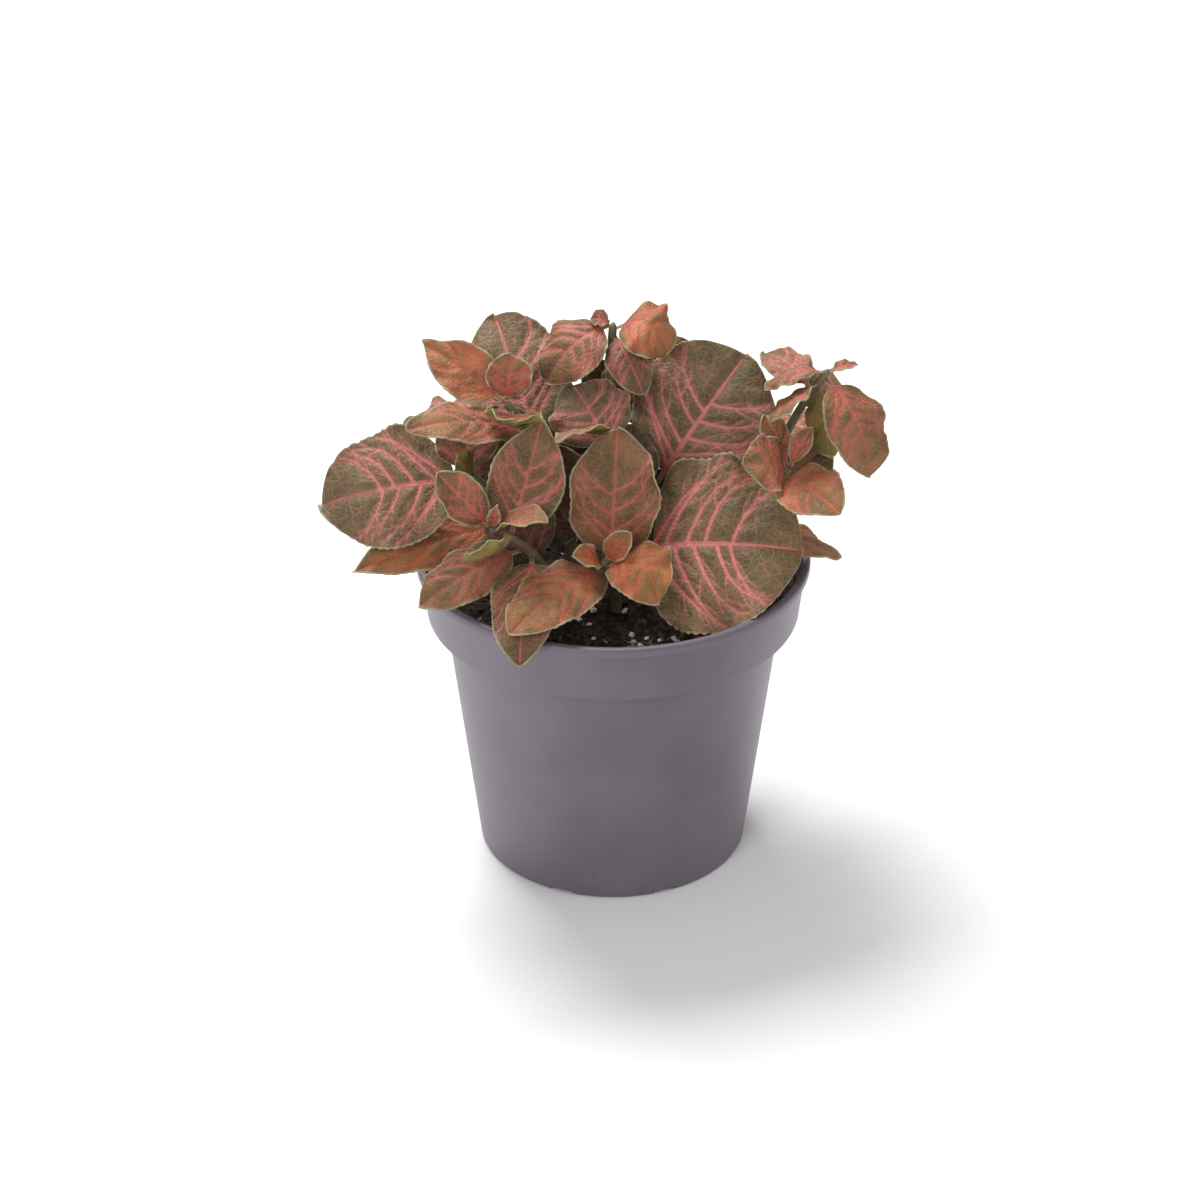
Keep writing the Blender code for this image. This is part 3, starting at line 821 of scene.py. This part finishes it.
@dataclass
class LeafBuilder:
    """Builds a leaf as one thin closed piece with three finishes."""

    finishes: list
    cell: float = 0.62
    fewest: tuple[int, int] = (24, 18)      # grid cells along and across
    most: int = 84
    thickness: float = 0.38
    pillow_height: float = 1.15
    wave_height: float = 1.7

    def build(self, leaf: Leaf, stem: Stem, seed: int) -> bpy.types.Object:
        """Lay a grid on the leaf's surface, raise it between the veins and thicken it.

        Args:
            leaf: the leaf's shape.
            stem: the stem that carries it.
            seed: seed of the leaf's own veins and waves.

        Returns:
            The finished object.
        """
        rng = random.Random(seed)
        surface = LeafSurface(leaf, stem)
        veins = Veins(leaf, surface.length, rng)
        rows = int(min(max(leaf.width / self.cell, self.fewest[1]), self.most))
        columns = int(min(max(surface.length / self.cell, self.fewest[0]), self.most))
        shape = bmesh.new()
        bmesh.ops.create_grid(shape, x_segments=columns, y_segments=rows, size=1.0)
        flat = np.array([corner.co[:2] for corner in shape.verts])
        share, across = (flat[:, 0] + 1) / 2, np.sin(flat[:, 1] * math.pi / 2) * 0.5 + flat[:, 1] * 0.5

        half = leaf.half_width(share)
        teeth = 1 + 0.012 * np.sin(share * surface.length * 2.6 + rng.uniform(0, 6)) * (half > 2)
        reach = across * half * teeth
        spots = np.stack([share * surface.length, reach], axis=1)
        main, fine = veins.distance(veins.main, spots), veins.distance(veins.fine, spots)
        lift = self.relief(leaf, share, across, np.minimum(main, fine + 0.4), rng)
        places = surface.place(share, reach, lift) * MM
        for corner, place in zip(shape.verts, places):
            corner.co = place

        data = bpy.data.meshes.new(leaf.name)
        bmesh.ops.reverse_faces(shape, faces=shape.faces)
        shape.normal_update()
        shape.to_mesh(data)
        shape.free()
        self.store(data, "vein_main", main)
        self.store(data, "vein_fine", fine)
        self.store(data, "margin", np.minimum(half - np.abs(reach), (1 - share) * surface.length))
        self.store(data, "heel", np.clip(1 - share * 1.6, 0, 1))
        self.store(data, "tone", np.full(len(share), leaf.tone))
        # Painted shade: the depth that darkens the leaf, made deeper towards its base.
        self.store(data, "depth", np.clip(leaf.depth + 0.25 * np.clip(0.35 - share, 0, 1), 0, 1))
        self.sheet(data, spots)
        return self.finish(leaf, data)

    def relief(self, leaf: Leaf, share: np.ndarray, across: np.ndarray, gap: np.ndarray,
               rng: random.Random) -> np.ndarray:
        """Heights of the blade: pillows between the veins and a gentle wave along the margin.

        Args:
            leaf: the leaf's shape.
            share: shares of the length.
            across: places across, from -1 to 1.
            gap: distances from the nearest vein.
            rng: source of the leaf's own waves.

        Returns:
            Heights above the middle surface in millimetres.
        """
        scale = leaf.width / TYPICAL_WIDTH
        blade = np.clip((share - leaf.petiole) / 0.15, 0, 1)
        pillow = self.pillow_height * scale ** 0.7 * np.clip(gap / (3.0 * scale), 0, 1) ** 0.7
        turns = rng.uniform(2.2, 3.4)
        phase = rng.uniform(0, 2 * math.pi)
        wave = np.sin(turns * 2 * math.pi * share + phase + 1.3 * np.sign(across))
        margin = self.wave_height * scale ** 0.8 * np.abs(across) ** 2.5 * wave
        return blade * (pillow + margin) - 0.2

    def store(self, data: bpy.types.Mesh, name: str, values: np.ndarray) -> None:
        """Keep a value for each corner of the mesh."""
        layer = data.attributes.new(name, "FLOAT", "POINT")
        layer.data.foreach_set("value", values.astype(np.float32))

    def sheet(self, data: bpy.types.Mesh, spots: np.ndarray) -> None:
        """Keep the flat blade, in metres, as the leaf's UV map.

        Args:
            data: the leaf's mesh.
            spots: each corner's place on the flat blade, in millimetres.
        """
        layer = data.uv_layers.new(name="sheet")
        for loop in data.loops:
            layer.data[loop.index].uv = spots[loop.vertex_index] * MM

    def finish(self, leaf: Leaf, data: bpy.types.Mesh) -> bpy.types.Object:
        """Dress the mesh, give it its thickness and place it in the scene.

        Args:
            leaf: the leaf, for its name.
            data: its mesh.

        Returns:
            The finished object.
        """
        for material in self.finishes:
            data.materials.append(material)
        data.shade_smooth()
        made = bpy.data.objects.new(leaf.name + "_blade", data)
        bpy.context.scene.collection.objects.link(made)
        thick = made.modifiers.new("thickness", "SOLIDIFY")
        thick.thickness = self.thickness * MM
        thick.offset = -1.0
        thick.material_offset = 1
        thick.material_offset_rim = 2
        return made


# ---------------------------------------------------------------- stems, soil and pot


def link_mesh(name: str, shape: bmesh.types.BMesh, material: bpy.types.Material,
              recalculate: bool = True) -> bpy.types.Object:
    """Turn a bmesh in millimetres into a smooth object at the origin.

    Args:
        name: name of the mesh and the object.
        shape: the bmesh, which is freed.
        material: its finish.
        recalculate: whether to turn the faces outwards.

    Returns:
        The object.
    """
    bmesh.ops.scale(shape, vec=(MM, MM, MM), verts=shape.verts)
    if recalculate:
        bmesh.ops.recalc_face_normals(shape, faces=shape.faces)
    data = bpy.data.meshes.new(name)
    shape.to_mesh(data)
    shape.free()
    data.materials.append(material)
    data.shade_smooth()
    made = bpy.data.objects.new(name, data)
    bpy.context.scene.collection.objects.link(made)
    return made


def lathe(profile: list, steps: int) -> bmesh.types.BMesh:
    """Spin an outline of (radius, height) points about Z.

    Args:
        profile: the outline; it may start and end on the axis, or close on itself.
        steps: number of steps round.

    Returns:
        A closed bmesh.
    """
    shape = bmesh.new()
    corners = [shape.verts.new((radius, 0, height)) for radius, height in profile]
    edges = [shape.edges.new(pair) for pair in zip(corners, corners[1:])]
    bmesh.ops.spin(shape, geom=corners + edges, cent=(0, 0, 0), axis=(0, 0, 1), dvec=(0, 0, 0),
                   angle=2 * math.pi, steps=steps, use_merge=True)
    bmesh.ops.remove_doubles(shape, verts=shape.verts, dist=0.001)
    return shape


@dataclass
class StemBuilder:
    """Builds the stems, with swollen nodes where leaves join."""

    material: bpy.types.Material
    sides: int = 14
    rings: int = 60
    foot: float = 11.5      # how far it reaches into the soil

    def build(self, stem: Stem, joints: list) -> bpy.types.Object:
        """Build one stem.

        Args:
            stem: its route.
            joints: shares of its length where a leaf joins.

        Returns:
            The finished object.
        """
        shape = bmesh.new()
        bmesh.ops.create_cone(shape, cap_ends=True, segments=self.sides, radius1=1.0, radius2=1.0,
                              depth=2.0)
        walls = [edge for edge in shape.edges if abs(edge.verts[0].co.z - edge.verts[1].co.z) > 1]
        bmesh.ops.subdivide_edges(shape, edges=walls, cuts=self.rings, use_grid_fill=True)
        for corner in shape.verts:
            share = (corner.co.z + 1) / 2
            flat = Vector((corner.co.x, corner.co.y))
            corner.co = self.skin(stem, joints, share, flat)
        return link_mesh(stem.name + "_skin", shape, self.material)

    def skin(self, stem: Stem, joints: list, share: float, flat: Vector) -> Vector:
        """A point of the stem's skin.

        Args:
            stem: the stem's route.
            joints: shares of its length where a leaf joins.
            share: place along the whole piece, its foot in the soil included.
            flat: place round it, 1 from the axis.

        Returns:
            The place in millimetres.
        """
        rise = share * 1.12 - 0.12
        if rise <= 0:
            centre = Vector(stem.root) + Vector((0, 0, rise / 0.12 * self.foot))
            ahead = Vector((0, 0, 1))
        else:
            centre = stem.point(rise)
            ahead = (stem.point(min(rise + 0.01, 1)) - stem.point(max(rise - 0.01, 0))).normalized()
        left = ahead.cross(Vector((0, 1, 0))).normalized()
        front = left.cross(ahead)
        knot = sum(math.exp(-((rise - joint) / 0.03) ** 2) for joint in joints)
        radius = stem.radius(max(rise, 0)) * (1 + 0.16 * min(knot, 1.0))
        if rise > 0.97:
            radius *= math.sqrt(max(1 - ((rise - 0.97) / 0.03) ** 2, 0.12))
        return centre + (left * flat.x + front * flat.y) * radius


@dataclass
class Pot:
    """The nursery pot: tapered body, stepped collar and lip, with channels and holes below."""

    height: float
    lip_radius: float
    base_radius: float = 42.0
    body_top_radius: float = 51.5
    step_height: float = 80.0
    collar_low: float = 57.0
    collar_top: float = 58.6
    lip_drop: float = 3.0
    wall: float = 1.0
    floor: float = 2.4
    steps: int = 160
    channels: int = 8
    channel_width: float = 7.0
    channel_depth: float = 1.4
    channel_start: float = 14.0
    drain_radius: float = 3.5
    drain_ring: float = 30.0

    def profile(self) -> list:
        """The section of the wall, from the middle of the base round to the middle of the floor.

        Returns:
            Points of radius and height.
        """
        foot = self.height - self.lip_drop
        lip, low, top, wall = self.lip_radius, self.collar_low, self.collar_top, self.wall
        outside = [
            (0, 0), (self.base_radius - 1.6, 0), (self.base_radius - 0.7, 0.25),
            (self.base_radius - 0.15, 0.8), (self.base_radius + 0.03, 1.8),
            (self.body_top_radius - 0.15, self.step_height - 1.6),
            (self.body_top_radius + 0.2, self.step_height - 0.5),
            (self.body_top_radius + 0.9, self.step_height), (low - 1.1, self.step_height),
            (low - 0.4, self.step_height + 0.3), (low, self.step_height + 1.1), (top, foot - 0.4),
            (top + 0.35, foot), (lip - 0.5, foot), (lip - 0.12, foot + 0.2), (lip, foot + 0.7),
            (lip, self.height - 0.9), (lip - 0.15, self.height - 0.35), (lip - 0.6, self.height),
        ]
        inside = [
            (top - wall + 0.5, self.height), (top - wall + 0.1, self.height - 0.2),
            (top - wall, self.height - 0.7), (low - wall, self.step_height + wall + 1.0),
            (low - wall - 0.8, self.step_height + wall),
            (self.body_top_radius - wall + 0.6, self.step_height + wall),
            (self.body_top_radius - wall, self.step_height + 0.4),
            (self.base_radius - wall + 0.3, self.floor + 1.0),
            (self.base_radius - wall - 0.8, self.floor), (0, self.floor),
        ]
        return outside + inside

    def cutter(self, kind: str) -> bpy.types.Object:
        """The channels or the drain holes, as one object to cut with.

        Args:
            kind: "channels" or "drains".

        Returns:
            The object, which is removed after the cut.
        """
        shape = bmesh.new()
        length = self.lip_radius - self.channel_start
        for number in range(self.channels):
            turn = Matrix.Rotation(2 * math.pi * (number + 0.5) / self.channels, 4, "Z")
            if kind == "channels":
                place = (turn @ Matrix.Translation((self.channel_start + length / 2, 0, 0))
                         @ Matrix.Diagonal((length, self.channel_width, 2 * self.channel_depth, 1)))
                bmesh.ops.create_cube(shape, size=1.0, matrix=place)
            else:
                place = turn @ Matrix.Translation((self.drain_ring, 0, self.floor))
                bmesh.ops.create_cone(shape, cap_ends=True, segments=28, radius1=self.drain_radius,
                                      radius2=self.drain_radius, depth=4 * self.floor, matrix=place)
        bmesh.ops.scale(shape, vec=(MM, MM, MM), verts=shape.verts)
        data = bpy.data.meshes.new(kind)
        shape.to_mesh(data)
        shape.free()
        made = bpy.data.objects.new(kind, data)
        bpy.context.scene.collection.objects.link(made)
        return made

    def build(self, material: bpy.types.Material) -> bpy.types.Object:
        """Build the pot and cut its floor.

        Args:
            material: its finish.

        Returns:
            The finished object.
        """
        pot = link_mesh("pot_shell", lathe(self.profile(), self.steps), material)
        for kind in ("channels", "drains"):
            tool = self.cutter(kind)
            cut = pot.modifiers.new(kind, "BOOLEAN")
            cut.operation, cut.solver, cut.object = "DIFFERENCE", "EXACT", tool
            with bpy.context.temp_override(object=pot, active_object=pot):
                bpy.ops.object.modifier_apply(modifier=cut.name)
            bpy.data.objects.remove(tool)
        pot.data.shade_smooth()
        pot.data.set_sharp_from_angle(angle=math.radians(40))
        self.mark_inside_shade(pot.data)
        return pot

    def mark_inside_shade(self, data: bpy.types.Mesh) -> None:
        """Mark the inside wall, which painted shade darkens.

        Args:
            data: the pot's mesh.
        """
        layer = data.attributes.new("inside", "FLOAT", "POINT")
        for corner, value in zip(data.vertices, layer.data):
            radius, height = math.hypot(corner.co.x, corner.co.y) / MM, corner.co.z / MM
            inner = radius < self.collar_top - 0.6 and self.step_height < height < self.height - 0.5
            faces_in = corner.normal.dot(Vector((corner.co.x, corner.co.y, 0))) < 0
            value.value = 1.0 if inner and faces_in else 0.0


@dataclass
class Soil:
    """Loose peat with crumbs, perlite and fibres."""

    top: float = 87.5
    radius: float = 56.0
    depth: float = 14.0
    rings: int = 60
    steps: int = 150
    seed: int = 7

    def height(self, x: float, y: float) -> float:
        """Height of the soil at a place.

        Args:
            x: place to the right.
            y: place to the back.

        Returns:
            The height in millimetres.
        """
        edge = math.hypot(x, y) / (self.radius + 1)
        lumps = (0.9 * math.sin(0.21 * x + 1.3) * math.cos(0.18 * y + 0.4)
                 + 0.6 * math.sin(0.37 * y - 0.26 * x))
        rough = 1.5 * noise.fractal(Vector((x, y, 0)) * 0.16, 1.0, 2.1, 5)
        fine = 0.5 * noise.noise(Vector((x, y, 4)) * 0.9)
        return self.top + 1.5 * (1 - edge * edge) + lumps * (1 - 0.5 * edge) + rough + fine

    def body(self, material: bpy.types.Material) -> bpy.types.Object:
        """The body of the soil: a bumpy top on a plain plug.

        Args:
            material: its finish.

        Returns:
            The finished object.
        """
        low = self.top - self.depth
        profile = [(0, low), (50.0, low), (50.2, 81.2), (self.radius - 1.0, 81.4),
                   (self.radius, 82.4)]
        profile += [(self.radius * (1 - ring / self.rings), self.top)
                    for ring in range(self.rings + 1)]
        shape = lathe(profile, self.steps)
        for corner in shape.verts:
            if corner.co.z > self.top - 0.01:
                corner.co.z = self.height(corner.co.x, corner.co.y)
        return link_mesh("soil_top", shape, material)

    def spot(self, rng: random.Random, front_right: bool = False) -> tuple[float, float]:
        """A random place on the soil.

        Args:
            rng: source of the place.
            front_right: whether it lies on the open ground at the front right.

        Returns:
            Its x and y in millimetres.
        """
        if front_right:
            angle, radius = rng.uniform(-1.45, -0.35), rng.uniform(38, self.radius - 3)
        else:
            angle, radius = rng.uniform(0, 2 * math.pi), (self.radius - 2.5) * math.sqrt(rng.random())
        return radius * math.cos(angle), radius * math.sin(angle)

    def scatter(self, name: str, count: int, sizes: tuple[float, float], stretch: float,
                material: bpy.types.Material, share: float, sink: float) -> bpy.types.Object:
        """Scatter lumps over the soil as one piece.

        Args:
            name: the piece's name.
            count: how many lumps.
            sizes: least and greatest radius in millimetres.
            stretch: how much longer a lump may be than it is wide.
            material: its finish.
            share: share of the lumps that lie on the open ground.
            sink: how much of its radius a lump sinks.

        Returns:
            The finished object.
        """
        rng = random.Random(self.seed + len(name))
        shape = bmesh.new()
        for _ in range(count):
            x, y = self.spot(rng, rng.random() < share)
            size = rng.uniform(*sizes)
            turn = Matrix.Rotation(rng.uniform(0, 6.28), 4, "Z") @ Matrix.Rotation(
                rng.uniform(-0.6, 0.6), 4, "X")
            form = Matrix.Diagonal((size * rng.uniform(1, stretch), size * rng.uniform(0.8, 1.2),
                                    size * rng.uniform(0.6, 1.0), 1))
            place = Matrix.Translation((x, y, self.height(x, y) - size * sink))
            lump = bmesh.ops.create_icosphere(shape, subdivisions=1, radius=1.0,
                                              matrix=place @ turn @ form)
            for corner in lump["verts"]:
                corner.co += noise.noise_vector(corner.co * 1.7) * size * 0.45
        made = link_mesh(name, shape, material)
        made.data.set_sharp_from_angle(angle=math.radians(50))
        return made

    def fibres(self, count: int, material: bpy.types.Material) -> bpy.types.Object:
        """Short bent fibres that lie on the soil.

        Args:
            count: how many fibres.
            material: their finish.

        Returns:
            The finished object.
        """
        rng = random.Random(self.seed)
        shape = bmesh.new()
        for _ in range(count):
            x, y = self.spot(rng, rng.random() < 0.5)
            length, thick = rng.uniform(2.5, 8.0), rng.uniform(0.1, 0.28)
            strand = bmesh.ops.create_cone(shape, cap_ends=True, segments=4, radius1=thick,
                                           radius2=thick * 0.5, depth=length)["verts"]
            lines = {edge for corner in strand for edge in corner.link_edges
                     if abs(edge.verts[0].co.z - edge.verts[1].co.z) > 0.9 * length}
            known = len(shape.verts) - len(strand)
            bmesh.ops.subdivide_edges(shape, edges=list(lines), cuts=3)
            corners = list(shape.verts)[known:]
            turn = Matrix.Rotation(rng.uniform(0, 6.28), 4, "Z") @ Matrix.Rotation(
                math.pi / 2 + rng.uniform(-0.35, 0.35), 4, "Y")
            bend = rng.uniform(-0.5, 0.5)
            place = Vector((x, y, self.height(x, y) + 0.3 + thick))
            for corner in corners:
                share = corner.co.z / length
                corner.co.x += bend * length * (0.25 - share * share)
                corner.co = place + (turn @ corner.co)
        return link_mesh("soil_fibres", shape, material)


# ---------------------------------------------------------------- the whole plant


@dataclass
class Plant:
    """The potted plant: puts the pieces together and hides the imported nodes that they stand in for."""

    pot_node: str = "pot"
    soil_node: str = "soil"

    def keep(self, piece: bpy.types.Object, node: Optional[str] = None) -> None:
        """Ride a piece on the body and hide the node that it replaces.

        Args:
            piece: the finished object.
            node: the node that it stands in for, if there is one.
        """
        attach(piece, BODY)
        if node:
            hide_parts(node)
        LOG.info("%s: %d faces", piece.name, len(piece.data.polygons))

    def build(self) -> None:
        """Build every piece."""
        _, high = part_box(self.pot_node)
        pot = Pot(height=round(high[2] / MM, 3), lip_radius=round(high[0] / MM, 3))
        self.keep(pot.build(PotFinish().make()), self.pot_node)
        self.build_soil()
        self.build_foliage()

    def build_soil(self) -> None:
        """The soil and what lies on it."""
        soil = Soil()
        # Without a seed the vector noise that shapes the grains starts from the clock
        noise.seed_set(soil.seed)
        peat = SoilFinish().make()
        crumb = SoilFinish("peat_crumb", (0.020, 0.012, 0.009), (0.085, 0.050, 0.034)).make()
        white = GrainFinish("perlite", (0.80, 0.78, 0.74), (0.42, 0.38, 0.34), 0.9).make()
        straw = GrainFinish("fibre", (0.36, 0.26, 0.17), (0.12, 0.08, 0.05), 1.2).make()
        self.keep(soil.body(peat), self.soil_node)
        self.keep(soil.scatter("soil_crumbs", 620, (0.5, 1.6), 1.5, crumb, 0.35, 0.3))
        self.keep(soil.scatter("perlite_grains", 190, (0.5, 1.3), 1.2, white, 0.55, 0.05))
        self.keep(soil.fibres(150, straw))

    def build_foliage(self) -> None:
        """The stems and the leaves."""
        stems = {stem.name: stem for stem in STEMS}
        skin = StemBuilder(StemFinish().make())
        for stem in STEMS:
            joints = [leaf.along for leaf in LEAVES if leaf.stem == stem.name]
            self.keep(skin.build(stem, joints), stem.name)
        blades = LeafBuilder([LeafUpperFinish().make(), LeafUnderFinish().make(),
                              LeafRimFinish().make()])
        nodes = set(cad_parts)
        for number, leaf in enumerate(LEAVES + HIDDEN_LEAVES):
            blade = blades.build(leaf, stems[leaf.stem], 100 + number)
            self.keep(blade, leaf.name if leaf.name in nodes else None)

    @staticmethod
    def leaf_slot(leaf: Leaf) -> str:
        """The slot of a leaf's finish.

        Args:
            leaf: the leaf, with its tone and its depth in the shade.

        Returns:
            The slot's name.
        """
        if leaf.depth > 0.5:
            return "leaf_shaded"
        return "leaf_young" if leaf.tone > 0.5 else "leaf_grown"


class Light(Enum):
    """The studio's soft lights: place, size and power."""

    KEY = ((-0.36, 0.72, 1.35), 0.75, 25.0)
    FRONT = ((-0.7, -1.5, 1.1), 0.8, 11.0)
    RIGHT = ((1.4, -0.5, 0.9), 1.0, 3.0)


@dataclass(frozen=True)
class Studio:
    """Pale floor, soft lights and the camera."""

    aim: Triple = (-4.0, 0.0, 82.0)
    distance: float = 938.0
    elevation: float = 29.3
    lens: float = 91.7
    floor_size: float = 4.0

    def build(self) -> None:
        """Set up the studio."""
        self.floor()
        for light in Light:
            self.light(light)
        self.world()
        self.camera()
        bpy.context.scene.view_settings.view_transform = "Standard"

    def floor(self) -> None:
        """A plain pale floor."""
        graph = Graph("studio_floor", 0.9, Specular_IOR_Level=0.1)
        material = graph.finish((0.93, 0.93, 0.93))
        shape = bmesh.new()
        bmesh.ops.create_grid(shape, x_segments=1, y_segments=1, size=self.floor_size / MM)
        link_mesh("studio_floor", shape, material, recalculate=False)

    def light(self, light: Light) -> None:
        """One soft light that looks at the plant.

        Args:
            light: which of the lights.
        """
        place, size, power = light.value
        data = bpy.data.lights.new("light_" + light.name.lower(), "AREA")
        data.energy, data.size = power, size
        lamp = bpy.data.objects.new(data.name, data)
        lamp.location = place
        away = Vector(place) - Vector(self.aim) * MM
        lamp.rotation_euler = away.to_track_quat("Z", "Y").to_euler()
        bpy.context.scene.collection.objects.link(lamp)

    def world(self) -> None:
        """An even white surround."""
        world = bpy.data.worlds.new("surround")
        world.use_nodes = True
        back = world.node_tree.nodes["Background"]
        back.inputs["Color"].default_value = (1.0, 1.0, 1.0, 1.0)
        back.inputs["Strength"].default_value = 0.45
        bpy.context.scene.world = world

    def camera(self) -> None:
        """The camera, which looks down on the plant from the front."""
        data = bpy.data.cameras.new("camera")
        data.lens, data.sensor_width = self.lens, 36.0
        data.clip_start, data.clip_end = 0.05, 20.0
        camera = bpy.data.objects.new("camera", data)
        lift = math.radians(self.elevation)
        back = Vector((0, -math.cos(lift), math.sin(lift)))
        camera.location = (Vector(self.aim) + back * self.distance) * MM
        camera.rotation_euler = back.to_track_quat("Z", "Y").to_euler()
        bpy.context.scene.collection.objects.link(camera)
        bpy.context.scene.camera = camera


def main() -> None:
    """Build the plant and its studio."""
    logging.basicConfig(level=logging.INFO, format="%(name)s %(message)s")
    Plant().build()
    Studio().build()
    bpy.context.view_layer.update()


if __name__ == "__main__":
    main()
